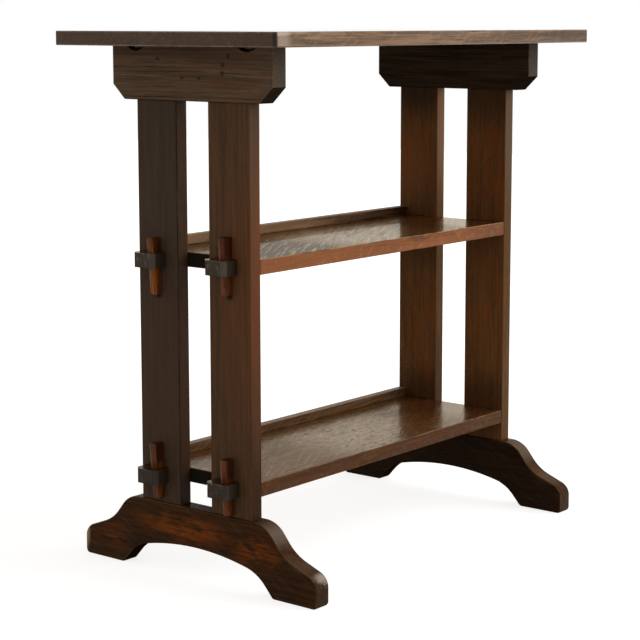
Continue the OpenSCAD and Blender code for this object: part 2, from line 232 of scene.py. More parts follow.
def make_oak_group():
    tree = bpy.data.node_groups.new("oak", "ShaderNodeTree")
    add_sockets(tree, "INPUT", {"Board": "Vector", "Dark": "Color", "Mid": "Color", "Light": "Color",
                                "Ring Width": "Float", "Rings": "Float", "Flecks": "Float", "Streaks": "Float"})
    add_sockets(tree, "OUTPUT", {"Color": "Color", "Shine": "Float", "Height": "Float"})
    given = tree.nodes.new("NodeGroupInput").outputs
    board = given["Board"]

    # Rings round the heart, bent by the tree's slow wander, some years stronger than others
    wander = drift(tree, board, WANDER_SCALE, detail=1.0)
    bent = vector(tree, "ADD", board, vector(tree, "MULTIPLY", wander, (0.0, WANDER_DEPTH, WANDER_DEPTH)))
    ripple = drift(tree, board, RIPPLE_SCALE, detail=3.0)
    bent = vector(tree, "ADD", bent, vector(tree, "MULTIPLY", ripple, (0.0, RIPPLE_DEPTH, RIPPLE_DEPTH)))
    distance = vector(tree, "LENGTH", vector(tree, "MULTIPLY", bent, (0.0, 1.0, 1.0)), out="Value")
    years = calc(tree, "DIVIDE", distance, given["Ring Width"])
    year = node(tree, "ShaderNodeTexWhiteNoise", {"W": calc(tree, "FLOOR", years)}, noise_dimensions="1D").outputs[0]
    early = between(tree, calc(tree, "FRACT", years), 0.0, EARLY_SHARE, 1.0, 0.0)
    early = times(tree, early, scaled(tree, year, 0.75, 0.25))
    early = times(tree, early, between(tree, noise(tree, bent, BREAK_SCALE), 0.38, 0.6, 0.12, 1.0))
    early = times(tree, early, given["Rings"])

    # Streaks, thin lines and pores along the grain
    streak = times(tree, between(tree, noise(tree, bent, STREAK_SCALE), 0.38, 0.66), given["Streaks"])
    line = between(tree, noise(tree, bent, LINE_SCALE, detail=1.0), 0.5, 0.64)
    line = times(tree, line, given["Streaks"])
    fine = between(tree, noise(tree, bent, FINE_SCALE), 0.38, 0.7)
    pore = between(tree, noise(tree, bent, PORE_SCALE, detail=1.0), 0.56, 0.66)
    pore = times(tree, pore, scaled(tree, early, 0.7, 0.3))

    # Rays: thin sheets that run out from the heart and cross the grain at a slant
    parts = node(tree, "ShaderNodeSeparateXYZ", {0: bent}).outputs
    turn = times(tree, calc(tree, "ARCTAN2", parts["Z"], parts["Y"]), HEART_DISTANCE)
    across = scaled(tree, distance, RAY_SLANT, parts["X"])
    sheet = xyz(tree, across, distance, turn)
    ray = between(tree, noise(tree, sheet, RAY_SCALE, detail=1.5), 0.54, 0.64)
    fleck = times(tree, ray, given["Flecks"])

    # Colour, from the broad clouds down to the pores
    cloud = between(tree, noise(tree, board, CLOUD_SCALE, detail=3.0), 0.3, 0.7)
    tone = mix(tree, times(tree, cloud, 0.6), given["Mid"], given["Light"])
    for amount, strength in ((streak, 0.6), (early, 0.7), (line, 0.5), (fine, 0.3)):
        tone = mix(tree, times(tree, amount, strength), tone, given["Dark"])
    tone = mix(tree, times(tree, fleck, 0.55), tone, given["Light"])
    tone = mix(tree, times(tree, pore, 0.6), tone, PORE_BLACK)

    # Shine is low in a pore and high on a ray; height falls in pores and early wood
    shine = minus(tree, scaled(tree, fleck, 0.5, 0.5), times(tree, pore, 0.5))
    shine = minus(tree, shine, times(tree, fine, 0.2), clamp=True)
    height = minus(tree, times(tree, fleck, 0.35), times(tree, early, 0.5))
    height = minus(tree, height, times(tree, fine, 0.5))
    height = minus(tree, height, pore)
    node(tree, "NodeGroupOutput", {"Color": tone, "Shine": shine, "Height": height})
    return tree


OAK = make_oak_group()
print("oak pattern:", len(OAK.nodes), "nodes")

# %% [markdown]
# ## Stain, age, wear and painted light
#
# The stand was stained and fumed nearly black-brown, then waxed, and a century of use shows on it: ends drank more
# stain than faces, the outer faces have greyed, hands have warmed some places to orange, old knocks have left dark
# dents, and the arrises are rubbed paler. Some layers paint light and shade instead: undersides, recesses and the
# spots under the key tips are darkened as painted shade, some faces are lighter high up, and corners, toes and tops
# carry painted highlights and sheen. Each effect is a layer over the bare pattern: a mask from 0 to 1, a tint and an
# amount.
#
# No mask reads where the viewer stands. Ends, outer faces and undersides are found from the surface's own direction,
# warm places, knocks, painted shade and highlights from their place on the board, and arrises from a number that the
# mesh carries.

# %% Masks
BLOTCH_SCALE = (20.0, 80.0, 80.0)
DASH_SCALE = (90.0, 190.0, 270.0)
RUB_SCALE = (26.0, 90.0, 90.0)
SLANT_SCALE = (290.0, 15.0, 60.0)
RIPPLE_TURN = math.radians(58)
KNOCK_SCALE = (240.0, 240.0, 240.0)
KNOCK_RAGGED = (0.004, 0.004, 0.004)
TENON_START = 0.275
TENON_FADE = 0.002


def part_of(tree, place, axis):
    return node(tree, "ShaderNodeSeparateXYZ", {0: place}).outputs[axis]


def size_of(tree, place, axis):
    return calc(tree, "ABSOLUTE", part_of(tree, place, axis))


def ends(tree, place, board, grain):
    """The two ends of a board, where its fibres are cut across."""
    return between(tree, size_of(tree, place["Normal"], grain), 0.55, 0.9)


def facing(tree, place, board, axis, sign):
    """Faces that look along an axis, to its plus or its minus side."""
    return between(tree, times(tree, part_of(tree, place["Normal"], axis), sign), 0.55, 0.9)


def turned_down(tree, place, board):
    """Faces that look at the floor."""
    return between(tree, part_of(tree, place["Normal"], "Z"), -0.3, -0.65)


def outside(tree, place, board):
    """Faces that look away from the middle of the stand, to the left and to the right."""
    side = times(tree, part_of(tree, place["Object"], "X"), part_of(tree, place["Normal"], "X"))
    return between(tree, side, 0.05, 0.2)


def tenons(tree, place, board):
    """The ends of the shelves that stick out past the posts."""
    out = size_of(tree, place["Object"], "X")
    return between(tree, out, TENON_START, TENON_START + TENON_FADE)


def tenon_cheeks(tree, place, board):
    cheek = between(tree, size_of(tree, place["Normal"], "Y"), 0.8, 0.95)
    return times(tree, cheek, tenons(tree, place, board))


def tenon_facets(tree, place, board):
    """The cuts on the upright corners of the tenons."""
    slant = vector(tree, "MULTIPLY", vector(tree, "ABSOLUTE", place["Normal"]), (1.0, 1.0, 0.0))
    slant = vector(tree, "DOT_PRODUCT", slant, (0.5, 0.5, 0.0), out="Value")
    return times(tree, between(tree, slant, 0.6, 0.68), tenons(tree, place, board))


def shelf_ends(tree, place, board):
    """The shelves' end grain between the posts."""
    out = size_of(tree, place["Object"], "X")
    inner = between(tree, out, TENON_START, TENON_START - TENON_FADE)
    return times(tree, inner, ends(tree, place, board, "X"))


def rim(tree, place, board):
    """The narrow faces that run round a foot's outline."""
    return between(tree, size_of(tree, place["Normal"], "X"), 0.9, 0.5)


def near(tree, place, board, centre, reach):
    """1 at a centre, falling to 0 at the reach along each axis."""
    away = vector(tree, "DIVIDE", vector(tree, "SUBTRACT", place["Object"], centre), reach)
    return between(tree, vector(tree, "LENGTH", away, out="Value"), 1.0, 0.25)


def knock(tree, place, board, centre, reach):
    """A small dirty dent with a ragged edge."""
    ragged = drift(tree, place["Object"], KNOCK_SCALE, detail=3.0)
    moved = vector(tree, "MULTIPLY_ADD", ragged, KNOCK_RAGGED, place["Object"])
    return near(tree, {"Object": moved}, board, centre, reach)


def both(tree, place, board, first, first_values, second, second_values):
    """Where two masks meet."""
    return times(tree, first(tree, place, board, *first_values), second(tree, place, board, *second_values))


def blotches(tree, place, board, centre, reach):
    """Ragged patches along the grain, near a centre, with dark lines left in them."""
    ragged = between(tree, noise(tree, board, BLOTCH_SCALE, detail=5.0, rough=0.7), 0.42, 0.58)
    ragged = times(tree, ragged, between(tree, noise(tree, board, LINE_SCALE), 0.3, 0.6, 0.3, 1.0))
    return times(tree, ragged, near(tree, place, board, centre, reach))


def dashes(tree, place, board):
    """Short dark dashes of open grain."""
    return between(tree, noise(tree, board, DASH_SCALE, detail=3.0, rough=0.6), 0.52, 0.66)


def ripples(tree, place, board):
    """Slanted ripples where the rays of a quartered board come to the surface."""
    turned = node(tree, "ShaderNodeMapping", {"Vector": board, "Rotation": (0.0, 0.0, RIPPLE_TURN)}).outputs[0]
    return between(tree, noise(tree, turned, SLANT_SCALE, detail=3.0), 0.5, 0.62)


def arrises(tree, place, board):
    """Eased edges, worn more in some places than in others."""
    marked = node(tree, "ShaderNodeAttribute", attribute_name="arris").outputs["Fac"]
    return times(tree, marked, between(tree, noise(tree, board, RUB_SCALE, detail=3.0), 0.32, 0.62))


FRONT, BACK = (facing, ("Y", -1.0)), (facing, ("Y", 1.0))
LEFT, UP = (facing, ("X", -1.0)), (facing, ("Z", 1.0))
OUTLINE = (rim, ())


def patch(side, centre, reach, tint, amount, mask=near):
    """A layer near a place, on the faces of one side only."""
    return both, (*side, mask, (centre, reach)), tint, amount


# %% [markdown]
# ## One finish for each board
#
# A board's finish is the pattern, turned so that its grain runs the right way, with the layers over it. The index
# of refraction says how well it can shine: little on the worn frames, more on the shelves and the top, which are
# wiped and shine at a flat angle. A second set of layers takes the wax off where nobody polishes, such as
# undersides, and adds to it where shoes and hands do. The shelves also keep a thin film of old amber varnish, which
# hardly reflects but warms the light that crosses it, most of all at a flat angle. On the top that film is clear.

# %% Finishes
VARNISH_INDEX = 1.02
WAX_POWER = 4.0
FIGURE_DEPTH = 0.5
RELIEF = 0.00025
RELIEF_STRENGTH = 0.6
GRAIN_TURNS = {"X": (0.0, 0.0, 0.0), "Y": (0.0, 0.0, -math.pi / 2), "Z": (0.0, math.pi / 2, 0.0)}


def oak_finish(name, palette, grain, heart, layers=(), wax=0.5, waxed=(), varnish=None, ring=0.0034, rings=0.8,
               flecks=0.3, streaks=0.8, rough=(0.5, 0.34), index=1.12):
    """A finish whose grain runs along one axis and whose log's heart lies on a point of the other two."""
    made, tree = new_material(name)
    place = node(tree, "ShaderNodeTexCoord").outputs
    board = node(tree, "ShaderNodeMapping", {"Vector": place["Object"], "Rotation": GRAIN_TURNS[grain],
                                             "Location": heart}).outputs[0]
    dark, mid, light = [colour(code) for code in palette]
    wood = node(tree, "ShaderNodeGroup", {
        "Board": board, "Dark": dark, "Mid": mid, "Light": light, "Ring Width": ring, "Rings": rings,
        "Flecks": flecks, "Streaks": streaks}, node_tree=OAK)

    tone = wood.outputs["Color"]
    for mask, values, tint, amount in layers:
        covered = times(tree, mask(tree, place, board, *values), amount)
        tone = mix(tree, covered, tone, colour(tint))

    # Wax runs from 0, bare wood, to 1, polished, and follows the figure: rays shine and pores do not
    for mask, values, amount in waxed:
        wax = scaled(tree, mask(tree, place, board, *values), minus(tree, amount, wax), wax)
    if waxed:
        figure = scaled(tree, wood.outputs["Shine"], FIGURE_DEPTH, 1.0 - FIGURE_DEPTH / 2)
        wax = calc(tree, "POWER", times(tree, wax, figure, clamp=True), WAX_POWER)

    matt, glossy = rough
    roughness = scaled(tree, wood.outputs["Shine"], glossy - matt, matt)
    relief = node(tree, "ShaderNodeBump", {"Height": wood.outputs["Height"], "Distance": RELIEF,
                                           "Strength": RELIEF_STRENGTH})
    shader = node(tree, "ShaderNodeBsdfPrincipled", {"Base Color": tone, "Roughness": roughness, "IOR": index,
                                                     "Specular IOR Level": wax, "Normal": relief.outputs[0]})
    if varnish:
        for socket, value in (("Coat Weight", 1.0), ("Coat IOR", VARNISH_INDEX), ("Coat Tint", (*varnish, 1.0))):
            shader.inputs[socket].default_value = value
    node(tree, "ShaderNodeOutputMaterial", {"Surface": shader.outputs[0]})
    return made


# %% [markdown]
# ## Boards with softened arrises
#
# Every arris got a stroke of the plane and then years of rubbing, so no edge is sharp. The solids already have their
# small flats. Modelling the boards again would risk their size and joints, so a copy of each solid is taken, its
# triangles are merged into clean faces, and a Bevel modifier rounds what is left sharp. A Weighted Normal modifier
# keeps the broad faces shading flat beside the rounds.

# %% Softened copies
MERGE_DISTANCE = 1e-6
FLAT_ANGLE = math.radians(0.1)
SHARP_ANGLE = math.radians(24)
ARRIS_TILT = 0.05
ARRIS_WIDTH = 0.0035
ARRIS_SEGMENTS = 2
SLOTS = {part["node"]: part["material_slot"] for part in frame["record"]["subparts"]}


def clean_mesh(name):
    """A copy of a solid's mesh with its triangles merged into whole faces."""
    mesh = frame["nodes"][name].data.copy()
    mesh.materials.clear()
    work = bmesh.new()
    work.from_mesh(mesh)
    bmesh.ops.remove_doubles(work, verts=work.verts, dist=MERGE_DISTANCE)
    bmesh.ops.dissolve_limit(work, angle_limit=FLAT_ANGLE, verts=work.verts, edges=work.edges)
    for face in work.faces:
        face.smooth = True
    for edge in work.edges:
        edge.smooth = True
    work.to_mesh(mesh)
    work.free()
    return mesh


def settle(piece):
    """Turns a piece with live modifiers into a plain mesh."""
    mesh = bpy.data.meshes.new_from_object(piece.evaluated_get(bpy.context.evaluated_depsgraph_get()))
    piece.modifiers.clear()
    piece.data = mesh
    return piece


def face_width(mesh, face):
    """Width of a long narrow face."""
    corners = [mesh.vertices[i].co for i in face.vertices]
    return face.area / max((a - b).length for a, b in zip(corners, corners[1:] + corners[:1]))


def mark_arrises(mesh, profiled):
    """Writes on each narrow face how far it leans away from the board's main directions."""
    marks = mesh.attributes.new("arris", "FLOAT", "FACE")
    for face in mesh.polygons:
        x, y, z = (abs(value) for value in face.normal)
        square = max(x, math.hypot(y, z)) if profiled else max(x, y, z)
        narrow = face_width(mesh, face) < ARRIS_WIDTH
        marks.data[face.index].value = min(1.0, (1.0 - square) / ARRIS_TILT) if narrow else 0.0


def hand_over(piece, name):
    """The piece stands for its solid, which is hidden, and rides on its body."""
    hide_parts(name)
    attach(piece, frame["nodes"][name]["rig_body"])


def soften(name, finish, width, profiled=False):
    """Puts a softened copy in the place of a solid."""
    piece = show(bpy.data.objects.new(name + "_piece", clean_mesh(name)))
    rounder = piece.modifiers.new("Rounded arrises", "BEVEL")
    rounder.width = width
    rounder.segments = ARRIS_SEGMENTS
    rounder.limit_method = "ANGLE"
    rounder.angle_limit = SHARP_ANGLE
    piece.modifiers.new("Flat faces stay flat", "WEIGHTED_NORMAL")
    settle(piece)
    mark_arrises(piece.data, profiled)
    piece.data.materials.append(finish)
    hand_over(piece, name)
    return piece


# %% [markdown]
# ## Boards and their cuts
#
# No two boards of the real stand match, so each gets its own cut of the log and its own tone. The heart point is
# where the log's middle lies from the board: far to one side for a quartered board, below it for a flat sawn one.
# Over the pattern come the board's own marks of wear, each at its place on the real stand, and its painted shade and
# highlights where the light fell on it. A row of a table says all of it, and what a set of boards has in common is
# said once.

# %% Where a board lies in its log
GRAIN_STEP = 0.73


def heart_of(name, grain, beside, above, seed):
    """Where a board's own coordinates start, given how far its heart lies beside and above its middle."""
    low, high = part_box(name)
    at = (low + high) / 2
    across = {"X": (at.y, at.z), "Y": (-at.x, at.z), "Z": (at.y, -at.x)}[grain]
    return (GRAIN_STEP * seed, beside - across[0], above - across[1])


def dress(boards, layers=(), **common):
    """Finishes a set of boards, each from its own row: grain, palette, heart beside, heart above, own layers."""
    for name, (grain, palette, beside, above, own, *extra) in boards.items():
        settings = {**common, **(extra[0] if extra else {})}
        width, profiled = settings.pop("width", 0.0005), settings.pop("profiled", False)
        heart = heart_of(name, grain, beside, above, list(SLOTS).index(name))
        finish = oak_finish(name + "_oak", palette, grain, heart, [*own, *layers], **settings)
        print(name, len(soften(name, finish, width, profiled=profiled).data.polygons), "faces")


# %% Posts
GREY_BROWN = ("#261c17", "#554232", "#6a5340")
WARM_BROWN = ("#35241a", "#6a4930", "#7d5a3c")
INNER_BROWN = ("#2c1b12", "#754d29", "#8c6239")
FACE_GREY = "#4a3f34"
FRONT_OLIVE = "#30281a"
# Painted shade: the dark brown laid where shade falls, under the bearers and beside the shelves.
PAINTED_SHADE_BROWN = "#1c110b"
ORANGE = "#8f4a17"
RUST_RED = "#7a3c1e"
# Painted shadow: a small dark spot on each left post just under the tip of its upper key, where the key's shadow
# falls.
KEY_TIP_SHADOW = "#0c0807"
TIP_SHADOW_REACH = (0.01, 0.0075, 0.0055)
SMOOTH_POST = {"rings": 0.5, "streaks": 0.35}

dress({
    "left_rear_post": ("Z", GREY_BROWN, 0.16, 0.02, [
        # Painted shade: the front face is darkened, most of all low down.
        (outside, (), FACE_GREY, 0.55), (*FRONT, "#382d25", 0.75),
        patch(FRONT, (-0.27, 0.0, 0.2), (0.1, 0.1, 0.26), "#2c1d15", 0.55),
        patch(FRONT, (-0.27, 0.0, 0.45), (0.1, 0.1, 0.2), "#5c3a26", 0.35, blotches),
        (near, ((-0.27, 0.05, 0.24), (0.1, 0.05, 0.2)), "#5a3623", 0.25),
        # Painted shadow under the tip of the upper key.
        (near, ((-0.279, 0.058, 0.348), TIP_SHADOW_REACH), KEY_TIP_SHADOW, 0.9),
        (arrises, (), "#120c09", 0.6)], {"rings": 0.5, "streaks": 0.6}),
    "left_front_post": ("Z", WARM_BROWN, 0.13, -0.03, [
        (outside, (), FACE_GREY, 0.3),
        # Painted light and shade on the front face: darker low down, under the upper shelf and near the foot, greyer
        # high up as a painted sheen, and warmer along its inner edge as painted light.
        patch(FRONT, (-0.27, -0.1, 0.2), (0.1, 0.1, 0.4), "#372017", 0.7),
        patch(FRONT, (-0.27, -0.1, 0.56), (0.1, 0.1, 0.22), "#4d3c31", 0.75),
        patch(FRONT, (-0.258, -0.1, 0.44), (0.014, 0.1, 0.16), "#6e3d22", 0.5),
        patch(FRONT, (-0.27, -0.1, 0.36), (0.1, 0.1, 0.09), "#472c1e", 0.4),
        patch(FRONT, (-0.27, -0.1, 0.1), (0.1, 0.1, 0.1), "#261a10", 0.6),
        (near, ((-0.27, -0.075, 0.36), (0.1, 0.045, 0.24)), "#7a4b2c", 0.4),
        # Painted shadow under the tip of the upper key.
        (near, ((-0.279, -0.058, 0.356), TIP_SHADOW_REACH), KEY_TIP_SHADOW, 0.9),
        (arrises, (), RUST_RED, 0.5)], {"rings": 0.6, "streaks": 0.7}),
    "right_rear_post": ("Z", INNER_BROWN, 0.15, 0.04, [
        (*FRONT, FRONT_OLIVE, 0.5),
        # Painted light and shade: the front face is lighter high up and darker low down, and the inner face is darker
        # under the bearer and beside the shelves and lighter between them.
        patch(FRONT, (0.27, 0.02, 0.54), (0.1, 0.1, 0.14), "#7c5e47", 0.75),
        patch(LEFT, (0.26, 0.07, 0.47), (0.1, 0.06, 0.06), "#8a5a34", 0.45),
        patch(LEFT, (0.26, 0.06, 0.59), (0.1, 0.1, 0.07), PAINTED_SHADE_BROWN, 0.75),
        (outside, (), FACE_GREY, 0.6),
        patch(LEFT, (0.26, 0.06, 0.36), (0.1, 0.1, 0.05), PAINTED_SHADE_BROWN, 0.3),
        patch(LEFT, (0.26, 0.04, 0.14), (0.1, 0.1, 0.06), PAINTED_SHADE_BROWN, 0.5),
        patch(FRONT, (0.27, 0.03, 0.16), (0.1, 0.1, 0.12), FRONT_OLIVE, 0.45),
        patch(LEFT, (0.26, 0.07, 0.5), (0.1, 0.05, 0.07), ORANGE, 0.6, blotches),
        patch(LEFT, (0.26, 0.04, 0.24), (0.1, 0.05, 0.1), ORANGE, 0.6, blotches),
        (arrises, (), RUST_RED, 0.4)], SMOOTH_POST),
    "right_front_post": ("Z", INNER_BROWN, -0.14, 0.03, [
        (*FRONT, FRONT_OLIVE, 0.5),
        # Painted light and shade: the front face is lighter high up, and the inner face is darker under the bearer
        # and beside the lower shelf.
        patch(FRONT, (0.27, -0.1, 0.54), (0.1, 0.1, 0.16), "#5a4c3e", 0.75),
        (outside, (), FACE_GREY, 0.6),
        patch(LEFT, (0.26, -0.06, 0.59), (0.1, 0.1, 0.09), PAINTED_SHADE_BROWN, 0.6),
        patch(LEFT, (0.26, -0.06, 0.14), (0.1, 0.1, 0.06), PAINTED_SHADE_BROWN, 0.5),
        patch(LEFT, (0.26, -0.06, 0.48), (0.1, 0.1, 0.1), ORANGE, 0.5, blotches),
        patch(LEFT, (0.26, -0.06, 0.28), (0.1, 0.1, 0.1), ORANGE, 0.5, blotches),
        (arrises, (), RUST_RED, 0.4)], SMOOTH_POST),
})

# %% Bearers
BEARER_BROWN = ("#140e0b", "#806753", "#987e65")
# Painted shade: the right bearer's seen face lies in the shade under the top, so it takes a much darker palette than
# the left one.
SHADED_BEARER_BROWN = ("#1f1813", "#44362a", "#574636")
RUBBED = "#9a7048"
KNOCK_FACE = -0.281
KNOCK_DEPTH = 0.006
KNOCKS = ((0.052, 0.634, 0.005, 0.0035), (0.013, 0.612, 0.004, 0.003), (-0.014, 0.612, 0.006, 0.003),
          (-0.06, 0.638, 0.0035, 0.005), (-0.052, 0.628, 0.0045, 0.004), (-0.051, 0.618, 0.0045, 0.0055))

dress({
    "left_bearer": ("Y", BEARER_BROWN, 0.03, 0.15, [
        # Painted shade: the near layer darkens the bearer's upper strip, under the overhang of the top.
        (outside, (), "#5e4e42", 0.25), (near, ((-0.28, 0.02, 0.652), (0.1, 0.2, 0.03)), "#3d3028", 0.4),
        (blotches, ((-0.28, -0.07, 0.61), (0.1, 0.12, 0.05)), "#7a5236", 0.5), (ends, ("Y",), "#4a4540", 0.8),
        *[(knock, ((KNOCK_FACE, y, z), (KNOCK_DEPTH, *size)), "#0b0806", 0.6) for y, z, *size in KNOCKS]
    ], {"ring": 0.0052, "rings": 1.4, "streaks": 0.45}),
    # Painted shade: the darker palette.
    "right_bearer": ("Y", SHADED_BEARER_BROWN, -0.02, 0.16, [(ends, ("Y",), "#55514c", 0.7)]),
# Undersides are darkened: dirt, and painted shade.
}, layers=[(turned_down, (), "#130d09", 0.85), (arrises, (), RUBBED, 0.25)],
    waxed=[(turned_down, (), 0.0)], rings=1.0, flecks=0.0, profiled=True)

# %% Feet
FOOT_BROWN = ("#160d06", "#45290f", "#583614")
TOE_BROWN = "#6b5340"

dress({
    "left_foot": ("Y", FOOT_BROWN, 0.02, 0.14, [
        (blotches, ((-0.28, 0.02, 0.062), (0.1, 0.1, 0.026)), ORANGE, 0.9),
        (blotches, ((-0.28, -0.1, 0.05), (0.1, 0.05, 0.03)), ORANGE, 0.75),
        (blotches, ((-0.28, 0.15, 0.04), (0.1, 0.05, 0.04)), ORANGE, 0.4),
        (near, ((-0.281, 0.191, 0.028), (0.012, 0.01, 0.03)), "#b59c7c", 1.0),
        (near, ((-0.27, -0.165, 0.062), (0.1, 0.03, 0.03)), TOE_BROWN, 0.5)]),
    "right_foot": ("Y", FOOT_BROWN, 0.04, 0.13, [
        # Painted shade: the right foot's inner face is darkened.
        (*LEFT, "#140b06", 0.6), (near, ((0.27, -0.165, 0.062), (0.1, 0.03, 0.03)), TOE_BROWN, 0.5)]),
# Undersides are darkened: dirt, and painted shade.
}, layers=[(ends, ("Y",), "#33271d", 0.5), (turned_down, (), "#1a100a", 0.85), (arrises, (), RUBBED, 0.22),
           # Painted highlights: pale streaks and a pale patch on the left toe's rim, and a painted sheen along both
           # feet's shoulders.
           patch((dashes, ()), (-0.263, -0.191, 0.034), (0.018, 0.012, 0.013), "#d8ccbc", 0.35),
           patch(OUTLINE, (-0.263, -0.188, 0.036), (0.017, 0.013, 0.01), "#b3a696", 0.62),
           patch(OUTLINE, (0.0, -0.115, 0.075), (1.0, 0.03, 0.03), "#8b7c6e", 0.32)],
    waxed=[(both, (*OUTLINE, near, ((-0.27, -0.115, 0.075), (0.1, 0.03, 0.03))), 0.85),
           (both, (*OUTLINE, near, ((-0.27, -0.175, 0.045), (0.1, 0.03, 0.03))), 1.0), (turned_down, (), 0.0)],
    wax=0.56, width=0.0016, profiled=True, index=1.3, rough=(0.42, 0.26))

# %% Top
TOP_BROWN = ("#3f2d20", "#8a6c54", "#a58a71")
END_BLACK = "#15110e"

dress({"top_board": ("X", TOP_BROWN, 0.03, 0.17, [
    patch(FRONT, (0.33, -0.177, 0.658), (0.24, 0.1, 0.1), "#4a3a2e", 0.65),
    (ends, ("X",), "#533d2b", 0.9), (arrises, (), "#a8937c", 0.25),
    patch((ends, ("X",)), (-0.33, -0.173, 0.658), (0.01, 0.005, 0.03), END_BLACK, 0.8),
    # Painted highlight: a pale patch high on the front edge at the near corner, and under it a paler patch, part wear
    # and part painted highlight.
    patch(FRONT, (-0.326, -0.177, 0.6655), (0.026, 0.02, 0.005), "#ded0c2", 0.75),
    patch(FRONT, (-0.322, -0.177, 0.657), (0.02, 0.01, 0.02), "#a89a8e", 0.6)])},
    wax=0.8, waxed=[(*UP, 0.7)], varnish=(1.0, 1.0, 1.0), width=0.0008, rough=(0.34, 0.22), index=1.3, streaks=1.0)

# %% Shelves
SHELF_BROWN = ("#2b1b10", "#5f3c20", "#7c5530")
# A pale tint over the middle of each shelf top: dust, and a painted sheen.
DUST_AND_SHEEN = "#8e7c5c"


def shelf(height, beside, flecks, figure, wax, edge, worn, tenon_end, facet):
    """A shelf's row. Its wax is thin at the left, where books rubbed it, and full in the middle and at the right."""
    thin, full = wax
    # The pale middle of the top is dust and a painted sheen.
    layers = [patch(UP, (-0.03, 0.0, height), (0.24, 0.3, 0.05), DUST_AND_SHEEN, 0.2), (figure, (), "#1a0f08", 0.35),
              (*FRONT, edge, 0.6), patch(FRONT, (0.27, -0.09, 0.39), (0.14, 0.05, 0.05), "#54382a", 0.5),
              patch(FRONT, (0.06, -0.1, 0.4), (0.2, 0.1, 0.012), "#3a2519", 0.6, blotches),
              (arrises, (), "#c49c74", worn), (tenons, (), tenon_end, 0.9),
              # Painted sheen: the tenons' corner facets are greyer and lighter.
              (both, (dashes, (), tenons, ()), "#6a6258", 0.15), (tenon_facets, (), facet, 0.8),
              (tenon_cheeks, (), "#38322b", 0.95), (both, (arrises, (), tenons, ()), "#7d746a", 0.4),
              # The end grain between the posts is darkened near to black: end grain, and painted shade in the gap.
              (shelf_ends, (), "#23211d", 0.95)]
    waxed = [(near, ((0.03, 0.03, height), (0.16, 0.5, 0.05)), full), (figure, (), 0.52),
             (near, ((0.25, 0.03, height), (0.11, 0.5, 0.05)), 1.0),
             (near, ((-0.25, 0.04, height), (0.07, 0.1, 0.05)), thin + 0.2), (*FRONT, 0.5), (*BACK, 0.3),
             (tenons, (), 0.6), (tenon_cheeks, (), 0.0), (shelf_ends, (), 0.0), (turned_down, (), 0.0)]
    return "X", SHELF_BROWN, 0.24, beside, layers, {"flecks": flecks, "wax": thin, "waxed": waxed}


dress({
    # The last colour of each row is the painted sheen on the tenons' facets.
    "upper_shelf": shelf(0.401, 0.03, 1.0, ripples, (0.24, 0.86), "#a36846", 0.6, "#3d3329", "#544e48"),
    "lower_shelf": shelf(0.133, -0.03, 0.5, dashes, (0.46, 0.92), "#4c2f1d", 0.25, "#2e251c", "#35302a"),
}, rough=(0.2, 0.1), index=1.55, varnish=(0.98, 0.944, 0.877))

# %% Strips
STRIP_BROWN = ("#22140c", "#6e4a33", "#9a7a5d")

dress({
    "upper_rail": ("X", STRIP_BROWN, 0.02, 0.12, [
        (near, ((0.24, 0.08, 0.405), (0.2, 0.1, 0.05)), "#2b180d", 0.6),
        (near, ((-0.22, 0.08, 0.405), (0.1, 0.1, 0.05)), "#b09070", 0.5),
        (near, ((-0.02, 0.08, 0.405), (0.12, 0.1, 0.05)), "#b08a68", 0.35)]),
    "lower_rail": ("X", STRIP_BROWN, -0.02, 0.13, [
        (near, ((-0.2, 0.08, 0.14), (0.2, 0.1, 0.05)), "#4e3722", 0.5),
        (near, ((0.08, 0.08, 0.14), (0.24, 0.1, 0.05)), "#3c2815", 0.5)]),
# Painted sheen: the rails' top faces are paler.
}, layers=[(*UP, "#8f7457", 0.6), (ends, ("X",), END_BLACK, 0.8), (arrises, (), "#a88a6a", 0.4)],
    flecks=0.5, index=1.2, streaks=1.0)

# %% [markdown]
# ## Geometry Nodes in short
#
# What follows a rule or repeats is grown by a node tree with named sizes instead of being modelled piece by piece:
# the eight keys and the sixteen screws. The helpers make an empty tree with its inputs, end it, and grow it on an
# object, of which only the plain mesh that comes out is kept.

# %% Trees that grow meshes
def shape(tree, kind, inputs, **settings):
    """What a Geometry Nodes node gives from its first output."""
    return node(tree, "GeometryNode" + kind, inputs, **settings).outputs[0]


def new_tree(name, inputs):
    """An empty tree that takes a geometry and the named inputs, and gives a geometry."""
    tree = bpy.data.node_groups.new(name, "GeometryNodeTree")
    add_sockets(tree, "OUTPUT", {"Geometry": "Geometry"})
    add_sockets(tree, "INPUT", {"Geometry": "Geometry", **inputs})
    return tree


def finish_tree(tree, made, finish):
    """Ends a tree: smooth shading, real geometry in place of instances, and one material."""
    smooth = shape(tree, "SetShadeSmooth", {"Geometry": made})
    real = shape(tree, "RealizeInstances", {"Geometry": smooth})
    node(tree, "NodeGroupOutput", {"Geometry": shape(tree, "SetMaterial", {"Geometry": real, "Material": finish})})


def grow(name, tree, values, mesh=None):
    """Runs a tree on a mesh, or on nothing, and returns a piece with a plain mesh."""
    piece = show(bpy.data.objects.new(name, mesh or bpy.data.meshes.new(name)))
    modifier = piece.modifiers.new("Grown", "NODES")
    modifier.node_group = tree
    for item in tree.interface.items_tree:
        if item.in_out == "INPUT" and item.name in values:
            modifier[item.identifier] = values[item.name]
    return settle(piece)


# %% [markdown]
# ## Tapered keys
#
# A key is a wedge: one face stands upright against the post, and the outer face slopes, so pushing it down pulls the
# tenon outwards. All eight have the same rule with different unevenness, so one tree makes them. A rounded rectangle
# is swept up a line whose points crowd together at both ends. Then the surface is moved: drawn in towards each end to
# round it, narrowed towards the tip on its outer side only, and made a little uneven, as a key cut by hand is.

# %% The key tree
KEY_STATIONS = 33
END_STEPS = 4
UNEVEN_SCALE = (70.0, 70.0, 26.0)
UNEVEN_DEPTH = 0.00035


